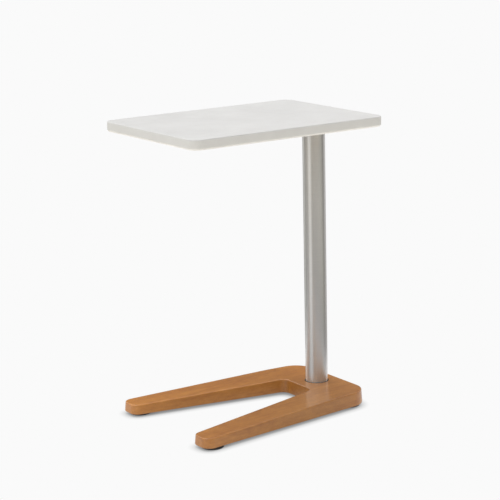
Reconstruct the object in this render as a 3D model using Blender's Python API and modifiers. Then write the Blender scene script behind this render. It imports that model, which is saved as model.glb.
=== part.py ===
"""A pull-up overbed table: a solid-surface top carried at one end by a round steel column, on a
V-shaped wooden base whose two legs slide under a bed or a chair. Four levelling glides stand under it.

Units are metres. +Z is up, +X points to the end with the column, and the legs open towards -X.
The origin lies on the floor under the middle of the top. Left is the -Y side, front is the -X end.
"""

import math

import bmesh
import bpy
from mathutils import Vector

# --- driving dimensions -------------------------------------------------------------------------
TABLE_HEIGHT = 0.667
CLEARANCE = 0.0003  # between two pieces that touch

TOP_LENGTH, TOP_WIDTH, TOP_THICKNESS = 0.496, 0.360, 0.023
TOP_CORNER_RADIUS = 0.022
TOP_UPPER_ROUND, TOP_LOWER_ROUND = 0.003, 0.006
SHEET_THICKNESS = 0.012  # the sheet itself; the rim under it is built up
RIM_WIDTH = 0.030
HOLLOW_CORNER_RADIUS = 0.008

COLUMN_X = 0.188
COLUMN_RADIUS, COLUMN_WALL = 0.0254, 0.002

WOOD_UNDERSIDE = 0.0062
BRIDGE_TOP = 0.0378  # height of the wood round the column
SLOPE_START_X, SLOPE = 0.143, 0.026  # from here the legs thin out towards their tips
WOOD_REAR_X, WOOD_TIP_X, CROTCH_X = 0.2395, -0.2333, 0.1338
OUTER_HALF_WIDTH, OUTER_TAPER = 0.1546, 0.096  # half the width at x = 0, and its growth towards -X
INNER_HALF_GAP, INNER_TAPER = 0.0755, 0.187  # the same for the gap between the legs
REAR_RADIUS, TIP_OUTER_RADIUS, TIP_INNER_RADIUS, CROTCH_RADIUS = 0.0490, 0.0215, 0.0200, 0.0170
WALL_DRAFT = 0.0016  # how far the side walls lean in from the underside to the upper edge
WOOD_UPPER_ROUND, WOOD_LOWER_ROUND = 0.0025, 0.0025

PLATE_THICKNESS = 0.0060  # both steel plates
TOP_PLATE_LENGTH, TOP_PLATE_WIDTH, TOP_PLATE_X = 0.216, 0.120, 0.108
BASE_PLATE_LENGTH, BASE_PLATE_WIDTH, BASE_PLATE_X = 0.084, 0.144, 0.186
PLATE_CORNER_RADIUS = 0.010

PLUG_LENGTH = 0.020
BOLT_CIRCLE_RADIUS, BOLT_RADIUS, BOLT_HEAD_RADIUS, BOLT_LENGTH = 0.0150, 0.0040, 0.0080, 0.0210
COUNTERSINK_DEPTH = 0.0042

TOP_SCREW_RADIUS, TOP_SCREW_HEAD_RADIUS, TOP_SCREW_HEAD = 0.0030, 0.0055, 0.0030
TOP_SCREW_REACH = 0.0140  # length of the shank under the head
TOP_INSERT_RADIUS, TOP_INSERT_LENGTH = 0.0050, 0.0095
WOOD_SCREW_RADIUS, WOOD_SCREW_HEAD_RADIUS, WOOD_SCREW_LENGTH = 0.0023, 0.0045, 0.0200
WOOD_SCREW_COUNTERSINK = 0.0024
PILOT_SPARE = 0.001  # a pilot hole goes this much deeper than its screw
TOP_SCREW_SPACING, TOP_SCREW_HALF_ROW = 0.095, 0.048
BASE_SCREW_X, BASE_SCREW_Y, MIDDLE_SCREW_Y = 0.032, 0.062, 0.045

# hexagon sockets, across the flats and deep
TOP_SCREW_SOCKET = (0.0040, 0.0018)
BOLT_SOCKET = (0.0050, 0.0028)
WOOD_SCREW_SOCKET = (0.0030, 0.0016)

SEAL_OUTER_RADIUS, SEAL_DEPTH, SEAL_PROUD = 0.0273, 0.0024, 0.0002

FRONT_GLIDE_X, FRONT_GLIDE_Y = -0.2000, 0.1474
REAR_GLIDE_X, REAR_GLIDE_Y = 0.2030, 0.1010
FOOT_RADIUS, FOOT_UNDERSIDE, FOOT_TOP, FOOT_ROUND = 0.0245, 0.0008, 0.0059, 0.0012
PAD_RADIUS, PAD_THICKNESS = 0.0222, 0.0025
SOCKET_RADIUS, SOCKET_ROOF = 0.0076, 0.0049  # the foot's hollow that holds the stem's head
STEM_RADIUS, STEM_TOP, STEM_HEAD_RADIUS = 0.0040, 0.0220, 0.0070
STEM_HEAD_LOW, STEM_HEAD_HIGH = 0.0031, 0.0046
INSERT_RADIUS, INSERT_FLANGE_RADIUS, INSERT_FLANGE = 0.0060, 0.0090, 0.0015
INSERT_TOP, INSERT_BORE_RADIUS = 0.0200, 0.0044
INSERT_HOLE_TOP = 0.0235

# heights that follow from the ones above
TOP_UNDERSIDE = TABLE_HEIGHT - TOP_THICKNESS
SHEET_UNDERSIDE = TABLE_HEIGHT - SHEET_THICKNESS
TOP_PLATE_HIGH = TOP_UNDERSIDE - CLEARANCE
TOP_PLATE_LOW = TOP_PLATE_HIGH - PLATE_THICKNESS
BASE_PLATE_LOW = WOOD_UNDERSIDE + CLEARANCE
BASE_PLATE_HIGH = BASE_PLATE_LOW + PLATE_THICKNESS
COLUMN_LOW = BASE_PLATE_HIGH + CLEARANCE
COLUMN_HIGH = TOP_PLATE_LOW - CLEARANCE
COLUMN_BORE = COLUMN_RADIUS - COLUMN_WALL

ROUND_STEPS, FOOT_STEPS, SMALL_STEPS = 40, 24, 12
FAR = 0.1  # how far a through-cutter reaches


# --- scene, collections, materials ---------------------------------------------------------------
def clear_scene():
    for old in list(bpy.data.objects):
        bpy.data.objects.remove(old, do_unlink=True)


def new_collection(name):
    collection = bpy.data.collections.new(name)
    bpy.context.scene.collection.children.link(collection)
    return collection


def material(name, colour, roughness, metallic=0.0):
    made = bpy.data.materials.get(name) or bpy.data.materials.new(name)
    made.use_nodes = True
    shader = made.node_tree.nodes["Principled BSDF"]
    shader.inputs["Base Color"].default_value = (*colour, 1.0)
    shader.inputs["Roughness"].default_value = roughness
    shader.inputs["Metallic"].default_value = metallic
    return made


def solid_surface():
    return material("solid_surface", (0.80, 0.80, 0.79), 0.45)


def birch_plywood():
    return material("birch_plywood", (0.62, 0.47, 0.30), 0.60)


def lacquered_wood():
    return material("lacquered_wood", (0.42, 0.21, 0.085), 0.35)


def brushed_steel():
    return material("brushed_steel", (0.56, 0.55, 0.53), 0.35, 1.0)


def black_steel():
    return material("black_coated_steel", (0.03, 0.03, 0.03), 0.50, 0.6)


def zinc():
    return material("zinc_plated_steel", (0.60, 0.60, 0.58), 0.30, 1.0)


def brass():
    return material("brass", (0.72, 0.53, 0.25), 0.35, 1.0)


def black_nylon():
    return material("black_nylon", (0.025, 0.024, 0.023), 0.55)


def black_rubber():
    return material("black_rubber", (0.015, 0.015, 0.015), 0.80)


# --- making and placing objects ------------------------------------------------------------------
def add_object(name, mesh, finish=None, location=(0, 0, 0), parent=None, collection=None):
    made = bpy.data.objects.new(name, mesh)
    (collection or PARTS).objects.link(made)
    made.location = location
    made.parent = parent
    if finish and not mesh.materials:
        mesh.materials.append(finish)
    return made


def as_cutter(made):
    made.hide_render = True
    made.display_type = "WIRE"
    return made


def cut(target, cutter):
    boolean = target.modifiers.new(cutter.name, "BOOLEAN")
    boolean.operation = "DIFFERENCE"
    boolean.solver = "EXACT"
    boolean.object = cutter


def mesh_from(name, bm, smooth=True):
    mesh = bpy.data.meshes.new(name)
    bmesh.ops.recalc_face_normals(bm, faces=bm.faces)
    bm.to_mesh(mesh)
    bm.free()
    if smooth:
        mesh.shade_smooth()
        mesh.set_sharp_from_angle(angle=math.radians(35))
    return mesh


def turned_mesh(name, profile, steps, closed=False):
    """A turned shape. The profile holds (radius, height) points, down its outer side from the top."""
    line = bpy.data.meshes.new(name + "_profile")
    points = [(radius, 0.0, height) for radius, height in profile]
    edges = [(i, i + 1) for i in range(len(points) - 1)]
    if closed:
        edges.append((len(points) - 1, 0))
    line.from_pydata(points, edges, [])
    holder = bpy.data.objects.new(name + "_profile", line)
    bpy.context.scene.collection.objects.link(holder)
    screw = holder.modifiers.new("turn", "SCREW")
    screw.axis = "Z"
    screw.angle = math.tau
    screw.steps = screw.render_steps = steps
    screw.use_merge_vertices = True
    screw.merge_threshold = 1e-5
    mesh = bpy.data.meshes.new_from_object(holder.evaluated_get(bpy.context.evaluated_depsgraph_get()))
    mesh.name = name
    bpy.data.objects.remove(holder)
    mesh.shade_smooth()
    mesh.set_sharp_from_angle(angle=math.radians(35))
    return mesh


def disc_mesh(name, radius, low, high, steps):
    """A solid disc or rod on the Z axis."""
    return turned_mesh(name, [(0.0, high), (radius, high), (radius, low), (0.0, low)], steps)


def ring_mesh(name, inner, outer, low, high, steps):
    profile = [(outer, high), (outer, low), (inner, low), (inner, high)]
    return turned_mesh(name, profile, steps, closed=True)


def plate_bmesh(length, width, low, high, corner_radius, segments=5):
    """A rectangular plate with round plan corners, its middle on the Z axis."""
    bm = bmesh.new()
    bmesh.ops.create_cube(bm, size=1.0)
    bmesh.ops.scale(bm, vec=(length, width, high - low), verts=bm.verts)
    bmesh.ops.translate(bm, vec=(0, 0, (low + high) / 2), verts=bm.verts)
    uprights = [e for e in bm.edges if abs(e.verts[0].co.z - e.verts[1].co.z) > (high - low) / 2]
    bmesh.ops.bevel(
        bm, geom=uprights, offset=corner_radius, segments=segments, profile=0.5, affect="EDGES"
    )
    return bm


def round_rim(bm, upward, offset, segments):
    """Rounds the edges between the flat face that looks up (or down) and the side walls."""
    bm.normal_update()
    rim = []
    for edge in bm.edges:
        heights = [face.normal.z * (1 if upward else -1) for face in edge.link_faces]
        if max(heights) > 0.9 and min(heights) < 0.5:
            rim.append(edge)
    bmesh.ops.bevel(bm, geom=rim, offset=offset, segments=segments, profile=0.5, affect="EDGES")


def socket_cutter(name, across, mouth, depth):
    """A six-sided prism for a hexagon socket, its mouth at the given height and looking up or down."""
    bm = bmesh.new()
    radius = across / 2 / math.cos(math.pi / 6)
    bmesh.ops.create_cone(
        bm, cap_ends=True, segments=6, radius1=radius, radius2=radius, depth=2 * depth
    )
    mesh = mesh_from(name, bm, smooth=False)
    return as_cutter(add_object(name, mesh, location=(0, 0, mouth), collection=CUTTERS))


def with_socket(mesh, socket, mouth=0.0):
    """Cuts a hexagon socket into a fastener's mesh, so that its copies share the finished mesh."""
    across, depth = socket
    body = add_object(mesh.name + "_blank", mesh)
    cutter = socket_cutter(mesh.name + "_socket", across, mouth, depth)
    cut(body, cutter)
    made = bpy.data.meshes.new_from_object(body.evaluated_get(bpy.context.evaluated_depsgraph_get()))
    name = mesh.name
    bpy.data.objects.remove(body)
    bpy.data.objects.remove(cutter)
    bpy.data.meshes.remove(mesh)
    made.name = name
    made.shade_smooth()
    made.set_sharp_from_angle(angle=math.radians(35))
    return made


def countersunk_profile(head_radius, shank_radius, countersink, length, grow=0.0, overshoot=0.0):
    """Head upwards with its flat at height 0; grow widens it and overshoot lengthens it for a cutter."""
    return [
        (0.0, overshoot),
        (head_radius + grow, overshoot),
        (head_radius + grow, -grow),
        (shank_radius + grow, -countersink - grow),
        (shank_radius + grow, -length - grow),
        (0.0, -length - grow),
    ]


# --- the top ---------------------------------------------------------------------------------------
def make_table_top():
    bm = plate_bmesh(
        TOP_LENGTH, TOP_WIDTH, TOP_UNDERSIDE, TABLE_HEIGHT, TOP_CORNER_RADIUS, segments=7
    )
    round_rim(bm, True, TOP_UPPER_ROUND, 3)
    round_rim(bm, False, TOP_LOWER_ROUND, 4)
    top = add_object("table_top", mesh_from("table_top", bm), solid_surface())
    hollow = plate_bmesh(
        TOP_LENGTH - 2 * RIM_WIDTH,
        TOP_WIDTH - 2 * RIM_WIDTH,
        TOP_UNDERSIDE - FAR,
        SHEET_UNDERSIDE,
        HOLLOW_CORNER_RADIUS,
        segments=3,
    )
    hollow = mesh_from("table_top_hollow", hollow, smooth=False)
    cut(top, as_cutter(add_object("table_top_hollow", hollow, collection=CUTTERS)))


def top_screw_places():
    """Three pairs of screws along the top plate, clear of the column."""
    for x in (-TOP_SCREW_SPACING, 0.0, TOP_SCREW_SPACING):
        for y in (-TOP_SCREW_HALF_ROW, TOP_SCREW_HALF_ROW):
            yield TOP_PLATE_X + x, y


def make_core_panel():
    gap = 2 * (RIM_WIDTH + CLEARANCE)
    high = SHEET_UNDERSIDE - CLEARANCE
    bm = plate_bmesh(
        TOP_LENGTH - gap, TOP_WIDTH - gap, TOP_UNDERSIDE, high, HOLLOW_CORNER_RADIUS, segments=3
    )
    panel = add_object("top_core_panel", mesh_from("top_core_panel", bm, False), birch_plywood())
    hole = disc_mesh(
        "insert_hole", TOP_INSERT_RADIUS + CLEARANCE, TOP_UNDERSIDE - FAR, high + FAR, SMALL_STEPS
    )
    for number, (x, y) in enumerate(top_screw_places(), 1):
        name = f"top_insert_hole_{number}"
        cut(panel, as_cutter(add_object(name, hole, location=(x, y, 0), collection=CUTTERS)))


def make_top_plate():
    bm = plate_bmesh(
        TOP_PLATE_LENGTH, TOP_PLATE_WIDTH, TOP_PLATE_LOW, TOP_PLATE_HIGH, PLATE_CORNER_RADIUS
    )
    bmesh.ops.translate(bm, vec=(TOP_PLATE_X, 0, 0), verts=bm.verts)
    plate = add_object("top_plate", mesh_from("top_plate", bm, False), black_steel())
    hole = disc_mesh(
        "top_screw_hole",
        TOP_SCREW_RADIUS + CLEARANCE,
        TOP_PLATE_LOW - FAR,
        TOP_PLATE_HIGH + FAR,
        SMALL_STEPS,
    )
    for number, (x, y) in enumerate(top_screw_places(), 1):
        name = f"top_screw_hole_{number}"
        cut(plate, as_cutter(add_object(name, hole, location=(x, y, 0), collection=CUTTERS)))
    bolt_hole = turned_mesh(
        "top_bolt_hole",
        countersunk_profile(
            BOLT_HEAD_RADIUS, BOLT_RADIUS, COUNTERSINK_DEPTH, BOLT_LENGTH, grow=CLEARANCE, overshoot=FAR
        ),
        SMALL_STEPS,
    )
    for number, (x, y) in enumerate(bolt_places(), 1):
        place = (x, y, TOP_PLATE_HIGH - CLEARANCE)
        name = f"top_bolt_hole_{number}"
        cut(plate, as_cutter(add_object(name, bolt_hole, location=place, collection=CUTTERS)))


def make_top_fasteners():
    """Brass inserts in the core panel, and the button-head screws that hold the plate to them."""
    low = TOP_UNDERSIDE + CLEARANCE
    high = low + TOP_INSERT_LENGTH
    bore = TOP_SCREW_RADIUS + CLEARANCE
    insert = ring_mesh("top_insert", bore, TOP_INSERT_RADIUS, low, high, SMALL_STEPS)
    head_high = TOP_PLATE_LOW - CLEARANCE
    head_low = head_high - TOP_SCREW_HEAD
    profile = [
        (0.0, head_high + TOP_SCREW_REACH),
        (TOP_SCREW_RADIUS, head_high + TOP_SCREW_REACH),
        (TOP_SCREW_RADIUS, head_high),
        (TOP_SCREW_HEAD_RADIUS, head_high),
        (TOP_SCREW_HEAD_RADIUS, head_high - 0.3 * TOP_SCREW_HEAD),
        (0.65 * TOP_SCREW_HEAD_RADIUS, head_low),
        (0.0, head_low),
    ]
    screw = with_socket(turned_mesh("top_screw", profile, SMALL_STEPS), TOP_SCREW_SOCKET, head_low)
    for number, (x, y) in enumerate(top_screw_places(), 1):
        add_object(f"top_insert_{number}", insert, brass(), (x, y, 0))
        add_object(f"top_screw_{number}", screw, zinc(), (x, y, 0))


# --- the column --------------------------------------------------------------------------------------
def bolt_places():
    for quarter in range(4):
        angle = math.pi / 4 + quarter * math.pi / 2
        x = COLUMN_X + BOLT_CIRCLE_RADIUS * math.cos(angle)
        yield x, BOLT_CIRCLE_RADIUS * math.sin(angle)


def make_plug(name, low, bolt_mesh, upward):
    """A steel disc welded into one end of the tube, drilled for the four bolts."""
    mesh = disc_mesh(name, COLUMN_BORE - CLEARANCE, low, low + PLUG_LENGTH, ROUND_STEPS)
    plug = add_object(name, mesh, zinc(), (COLUMN_X, 0, 0))
    for number, (x, y) in enumerate(bolt_places(), 1):
        height = TOP_PLATE_HIGH if upward else BASE_PLATE_LOW
        hole = add_object(f"{name}_hole_{number}", bolt_mesh, location=(x, y, height), collection=CUTTERS)
        hole.rotation_euler.x = 0.0 if upward else math.pi
        cut(plug, as_cutter(hole))


def make_column():
    tube = ring_mesh("column_tube", COLUMN_BORE, COLUMN_RADIUS, COLUMN_LOW, COLUMN_HIGH, ROUND_STEPS)
    add_object("column_tube", tube, brushed_steel(), (COLUMN_X, 0, 0))
    hole = disc_mesh("bolt_hole", BOLT_RADIUS + CLEARANCE, -FAR, FAR, SMALL_STEPS)
    make_plug("column_top_plug", COLUMN_HIGH - PLUG_LENGTH, hole, True)
    make_plug("column_bottom_plug", COLUMN_LOW, hole, False)
    bolt = turned_mesh(
        "column_bolt",
        countersunk_profile(BOLT_HEAD_RADIUS, BOLT_RADIUS, COUNTERSINK_DEPTH, BOLT_LENGTH),
        SMALL_STEPS,
    )
    bolt = with_socket(bolt, BOLT_SOCKET)
    for number, (x, y) in enumerate(bolt_places(), 1):
        add_object(f"column_top_bolt_{number}", bolt, zinc(), (x, y, TOP_PLATE_HIGH - CLEARANCE))
        below = add_object(
            f"column_bottom_bolt_{number}", bolt, zinc(), (x, y, BASE_PLATE_LOW + CLEARANCE)
        )
        below.rotation_euler.x = math.pi


def make_seal_ring():
    """The black ring that closes the gap between the column and the wood."""
    low = BRIDGE_TOP - SEAL_DEPTH + CLEARANCE
    high = BRIDGE_TOP + SEAL_PROUD
    inner = COLUMN_RADIUS + CLEARANCE
    ring = ring_mesh("column_seal_ring", inner, SEAL_OUTER_RADIUS, low, high, ROUND_STEPS)
    add_object("column_seal_ring", ring, black_rubber(), (COLUMN_X, 0, 0))


# --- the base ------------------------------------------------------------------------------------------
def rounded_outline(corners, radii, steps=6):
    """The polygon with each corner turned into an arc of its own radius."""
    outline = []
    for index, (corner, radius) in enumerate(zip(corners, radii)):
        corner = Vector(corner)
        before = (Vector(corners[index - 1]) - corner).normalized()
        after = (Vector(corners[(index + 1) % len(corners)]) - corner).normalized()
        half_angle = before.angle(after) / 2
        centre = corner + (before + after).normalized() * radius / math.sin(half_angle)
        start = corner + before * radius / math.tan(half_angle) - centre
        end = corner + after * radius / math.tan(half_angle) - centre
        sweep = start.angle_signed(end)
        for step in range(steps + 1):
            turn = -sweep * step / steps
            x = start.x * math.cos(turn) - start.y * math.sin(turn)
            y = start.x * math.sin(turn) + start.y * math.cos(turn)
            outline.append(centre + Vector((x, y)))
    return outline


def wood_top_height(x):
    return BRIDGE_TOP - SLOPE * max(0.0, SLOPE_START_X - x)


def wood_outline():
    """The base's outline at its underside: the bridge under the column and the two splayed legs."""

    def outer(x):
        return OUTER_HALF_WIDTH - OUTER_TAPER * x

    def inner(x):
        return INNER_HALF_GAP - INNER_TAPER * x

    half = [
        (WOOD_REAR_X, outer(WOOD_REAR_X)),
        (WOOD_TIP_X, outer(WOOD_TIP_X)),
        (WOOD_TIP_X, inner(WOOD_TIP_X)),
        (CROTCH_X, inner(CROTCH_X)),
    ]
    radii = [REAR_RADIUS, TIP_OUTER_RADIUS, TIP_INNER_RADIUS, CROTCH_RADIUS]
    other_half = [(x, -y) for x, y in reversed(half)]
    return rounded_outline(half + other_half, radii + radii[::-1])


def wood_base_bmesh():
    bm = bmesh.new()
    corners = [bm.verts.new((x, y, WOOD_UNDERSIDE)) for x, y in wood_outline()]
    floor = bm.faces.new(corners)
    bm.normal_update()
    if floor.normal.z < 0:
        floor.normal_flip()
    bmesh.ops.inset_region(
        bm,
        faces=[floor],
        thickness=WALL_DRAFT,
        depth=BRIDGE_TOP - WOOD_UNDERSIDE,
        use_boundary=True,
        use_even_offset=True,
    )
    bmesh.ops.holes_fill(bm, edges=[e for e in bm.edges if e.is_boundary])
    everything = list(bm.verts) + list(bm.edges) + list(bm.faces)
    bmesh.ops.bisect_plane(bm, geom=everything, plane_co=(SLOPE_START_X, 0, 0), plane_no=(1, 0, 0))
    for vert in bm.verts:
        if vert.co.z > (WOOD_UNDERSIDE + BRIDGE_TOP) / 2:
            vert.co.z = wood_top_height(vert.co.x)
    bmesh.ops.recalc_face_normals(bm, faces=bm.faces)
    round_rim(bm, True, WOOD_UPPER_ROUND, 2)
    round_rim(bm, False, WOOD_LOWER_ROUND, 3)
    return bm


def base_screw_places():
    for x in (-BASE_SCREW_X, BASE_SCREW_X):
        for y in (-BASE_SCREW_Y, BASE_SCREW_Y):
            yield BASE_PLATE_X + x, y
    for y in (-MIDDLE_SCREW_Y, MIDDLE_SCREW_Y):
        yield BASE_PLATE_X, y


def make_wood_base():
    wood = add_object("wood_base", mesh_from("wood_base", wood_base_bmesh()), lacquered_wood())
    pocket = plate_bmesh(
        BASE_PLATE_LENGTH + 2 * CLEARANCE,
        BASE_PLATE_WIDTH + 2 * CLEARANCE,
        WOOD_UNDERSIDE - FAR,
        BASE_PLATE_HIGH + CLEARANCE,
        PLATE_CORNER_RADIUS,
    )
    bmesh.ops.translate(pocket, vec=(BASE_PLATE_X, 0, 0), verts=pocket.verts)
    pocket = mesh_from("plate_pocket", pocket, False)
    cut(wood, as_cutter(add_object("plate_pocket", pocket, collection=CUTTERS)))
    steps_down = [
        (0.0, FAR),
        (SEAL_OUTER_RADIUS + CLEARANCE, FAR),
        (SEAL_OUTER_RADIUS + CLEARANCE, BRIDGE_TOP - SEAL_DEPTH),
        (COLUMN_RADIUS + CLEARANCE, BRIDGE_TOP - SEAL_DEPTH),
        (COLUMN_RADIUS + CLEARANCE, -FAR),
        (0.0, -FAR),
    ]
    bore = turned_mesh("column_hole", steps_down, ROUND_STEPS)
    bore = add_object("column_hole", bore, location=(COLUMN_X, 0, 0), collection=CUTTERS)
    cut(wood, as_cutter(bore))
    pilot_roof = BASE_PLATE_LOW + WOOD_SCREW_LENGTH + PILOT_SPARE
    pilot = disc_mesh("pilot_hole", WOOD_SCREW_RADIUS + CLEARANCE, -FAR, pilot_roof, SMALL_STEPS)
    for number, (x, y) in enumerate(base_screw_places(), 1):
        name = f"pilot_hole_{number}"
        cut(wood, as_cutter(add_object(name, pilot, location=(x, y, 0), collection=CUTTERS)))
    flange_roof = WOOD_UNDERSIDE + INSERT_FLANGE + 2 * CLEARANCE
    stepped = [
        (0.0, INSERT_HOLE_TOP),
        (INSERT_RADIUS + CLEARANCE, INSERT_HOLE_TOP),
        (INSERT_RADIUS + CLEARANCE, flange_roof),
        (INSERT_FLANGE_RADIUS + CLEARANCE, flange_roof),
        (INSERT_FLANGE_RADIUS + CLEARANCE, -FAR),
        (0.0, -FAR),
    ]
    hole = turned_mesh("glide_hole", stepped, SMALL_STEPS)
    for name, x, y in glide_places():
        cut(wood, as_cutter(add_object(f"{name}_glide_hole", hole, location=(x, y, 0), collection=CUTTERS)))


def make_base_plate():
    bm = plate_bmesh(
        BASE_PLATE_LENGTH, BASE_PLATE_WIDTH, BASE_PLATE_LOW, BASE_PLATE_HIGH, PLATE_CORNER_RADIUS
    )
    bmesh.ops.translate(bm, vec=(BASE_PLATE_X, 0, 0), verts=bm.verts)
    plate = add_object("base_plate", mesh_from("base_plate", bm, False), black_steel())
    bolt_hole = turned_mesh(
        "base_bolt_hole",
        countersunk_profile(
            BOLT_HEAD_RADIUS, BOLT_RADIUS, COUNTERSINK_DEPTH, BOLT_LENGTH, grow=CLEARANCE, overshoot=FAR
        ),
        SMALL_STEPS,
    )
    screw_hole = turned_mesh(
        "base_screw_hole",
        countersunk_profile(
            WOOD_SCREW_HEAD_RADIUS,
            WOOD_SCREW_RADIUS,
            WOOD_SCREW_COUNTERSINK,
            WOOD_SCREW_LENGTH,
            grow=CLEARANCE,
            overshoot=FAR,
        ),
        SMALL_STEPS,
    )
    places = [(f"base_bolt_hole_{n}", bolt_hole, x, y) for n, (x, y) in enumerate(bolt_places(), 1)]
    for n, (x, y) in enumerate(base_screw_places(), 1):
        places.append((f"base_screw_hole_{n}", screw_hole, x, y))
    for name, mesh, x, y in places:
        hole = add_object(name, mesh, location=(x, y, BASE_PLATE_LOW + CLEARANCE), collection=CUTTERS)
        hole.rotation_euler.x = math.pi
        cut(plate, as_cutter(hole))


def make_base_screws():
    screw = turned_mesh(
        "base_screw",
        countersunk_profile(
            WOOD_SCREW_HEAD_RADIUS, WOOD_SCREW_RADIUS, WOOD_SCREW_COUNTERSINK, WOOD_SCREW_LENGTH
        ),
        SMALL_STEPS,
    )
    screw = with_socket(screw, WOOD_SCREW_SOCKET)
    for number, (x, y) in enumerate(base_screw_places(), 1):
        made = add_object(f"base_plate_screw_{number}", screw, zinc(), (x, y, BASE_PLATE_LOW + CLEARANCE))
        made.rotation_euler.x = math.pi


# --- the levelling glides ---------------------------------------------------------------------------------
def glide_places():
    yield "front_left", FRONT_GLIDE_X, -FRONT_GLIDE_Y
    yield "front_right", FRONT_GLIDE_X, FRONT_GLIDE_Y
    yield "rear_left", REAR_GLIDE_X, -REAR_GLIDE_Y
    yield "rear_right", REAR_GLIDE_X, REAR_GLIDE_Y


def insert_mesh():
    flange_low = WOOD_UNDERSIDE + CLEARANCE
    profile = [
        (INSERT_RADIUS, INSERT_TOP),
        (INSERT_RADIUS, flange_low + INSERT_FLANGE),
        (INSERT_FLANGE_RADIUS, flange_low + INSERT_FLANGE),
        (INSERT_FLANGE_RADIUS, flange_low),
        (INSERT_BORE_RADIUS, flange_low),
        (INSERT_BORE_RADIUS, INSERT_TOP),
    ]
    return turned_mesh("glide_insert", profile, SMALL_STEPS, closed=True)


def stem_mesh():
    """The threaded stem, its round head captured in the foot, with a hexagon socket in its upper end."""
    profile = [
        (0.0, STEM_TOP),
        (0.8 * STEM_RADIUS, STEM_TOP),
        (STEM_RADIUS, STEM_TOP - 0.2 * STEM_RADIUS),
        (STEM_RADIUS, STEM_HEAD_HIGH),
        (STEM_HEAD_RADIUS, STEM_HEAD_HIGH),
        (STEM_HEAD_RADIUS, STEM_HEAD_LOW),
        (0.0, STEM_HEAD_LOW),
    ]
    return turned_mesh("glide_stem", profile, SMALL_STEPS)


def foot_mesh():
    """The moulded foot: a rim round the pad's recess, a socket for the stem's head, and a hole above it."""
    recess_roof = PAD_THICKNESS + CLEARANCE
    profile = [
        (FOOT_RADIUS - FOOT_ROUND, FOOT_TOP),
        (FOOT_RADIUS, FOOT_TOP - FOOT_ROUND),
        (FOOT_RADIUS, FOOT_UNDERSIDE + FOOT_ROUND),
        (FOOT_RADIUS - FOOT_ROUND, FOOT_UNDERSIDE),
        (PAD_RADIUS + CLEARANCE, FOOT_UNDERSIDE),
        (PAD_RADIUS + CLEARANCE, recess_roof),
        (SOCKET_RADIUS, recess_roof),
        (SOCKET_RADIUS, SOCKET_ROOF),
        (STEM_RADIUS + 2 * CLEARANCE, SOCKET_ROOF),
        (STEM_RADIUS + 2 * CLEARANCE, FOOT_TOP),
    ]
    return turned_mesh("glide_foot", profile, FOOT_STEPS, closed=True)


def make_glides():
    meshes = [
        ("insert", insert_mesh(), zinc()),
        ("stem", stem_mesh(), zinc()),
        ("foot", foot_mesh(), black_nylon()),
        ("pad", disc_mesh("glide_pad", PAD_RADIUS, 0.0, PAD_THICKNESS, FOOT_STEPS), black_rubber()),
    ]
    for place, x, y in glide_places():
        axis = bpy.data.objects.new(f"{place}_glide_axis", None)
        PARTS.objects.link(axis)
        axis.location = (x, y, 0)
        for piece, mesh, finish in meshes:
            add_object(f"{place}_glide_{piece}", mesh, finish, parent=axis)


clear_scene()
PARTS = new_collection("overbed_table")
CUTTERS = new_collection("cutters")
make_table_top()
make_core_panel()
make_top_plate()
make_top_fasteners()
make_column()
make_seal_ring()
make_wood_base()
make_base_plate()
make_base_screws()
make_glides()
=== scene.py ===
import math

import bmesh
import bpy
from mathutils import Matrix, Vector


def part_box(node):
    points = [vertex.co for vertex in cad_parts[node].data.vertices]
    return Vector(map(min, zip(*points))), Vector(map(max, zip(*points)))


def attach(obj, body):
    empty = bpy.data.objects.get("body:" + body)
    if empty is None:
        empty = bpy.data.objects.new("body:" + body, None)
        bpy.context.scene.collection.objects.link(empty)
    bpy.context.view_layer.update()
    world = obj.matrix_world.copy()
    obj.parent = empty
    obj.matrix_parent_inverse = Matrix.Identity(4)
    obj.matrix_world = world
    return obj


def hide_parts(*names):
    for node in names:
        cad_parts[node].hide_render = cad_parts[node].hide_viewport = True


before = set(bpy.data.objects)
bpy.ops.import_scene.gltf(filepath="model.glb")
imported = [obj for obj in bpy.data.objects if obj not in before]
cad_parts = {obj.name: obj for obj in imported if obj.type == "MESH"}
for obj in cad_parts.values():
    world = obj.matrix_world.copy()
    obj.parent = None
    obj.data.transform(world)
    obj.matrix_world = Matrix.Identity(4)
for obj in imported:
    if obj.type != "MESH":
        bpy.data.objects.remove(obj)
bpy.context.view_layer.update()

# Looks for the overbed table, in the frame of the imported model: metres, +Z up, the column at the
# rear (+X), the legs open towards the front (-X), the right leg at +Y. Heights and places come from
# the CAD boxes. The numbers below give the outlines, rounds and threads that a box does not tell.

# --- shapes ---------------------------------------------------------------------------------------
TOP_CORNER_RADIUS = 0.022
TOP_UPPER_ROUND, TOP_LOWER_ROUND = 0.003, 0.006
RIM_WIDTH, RIM_CHAMFER = 0.030, 0.0008
HOLLOW_CORNER_RADIUS = 0.008
CORE_EDGE = 0.0005
CLEARANCE = 0.0003
EDGE_BREAK = 0.0003
BEYOND = 0.05  # how far a cutter reaches past the face that it opens

WOOD_REAR_X, WOOD_TIP_X, CROTCH_X = 0.2395, -0.2333, 0.1338
OUTER_HALF_WIDTH, OUTER_TAPER = 0.1546, 0.096
INNER_HALF_GAP, INNER_TAPER = 0.0755, 0.187
REAR_RADIUS, TIP_OUTER_RADIUS, TIP_INNER_RADIUS, CROTCH_RADIUS = 0.0490, 0.0215, 0.0200, 0.0170
WALL_DRAFT = 0.0016
WOOD_UPPER_ROUND, WOOD_LOWER_ROUND = 0.0025, 0.0025
SLOPE_START_X, SLOPE, SLOPE_BLEND, BLEND_STEPS = 0.143, 0.026, 0.020, 8
WOOD_CORNER_STEPS = 14

PLATE_CORNER_RADIUS, PLATE_EDGE = 0.010, 0.0006
TUBE_EDGE, PLUG_EDGE = 0.0004, 0.0008
SEAL_DEPTH, SEAL_ROUND = 0.0024, 0.0005

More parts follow.
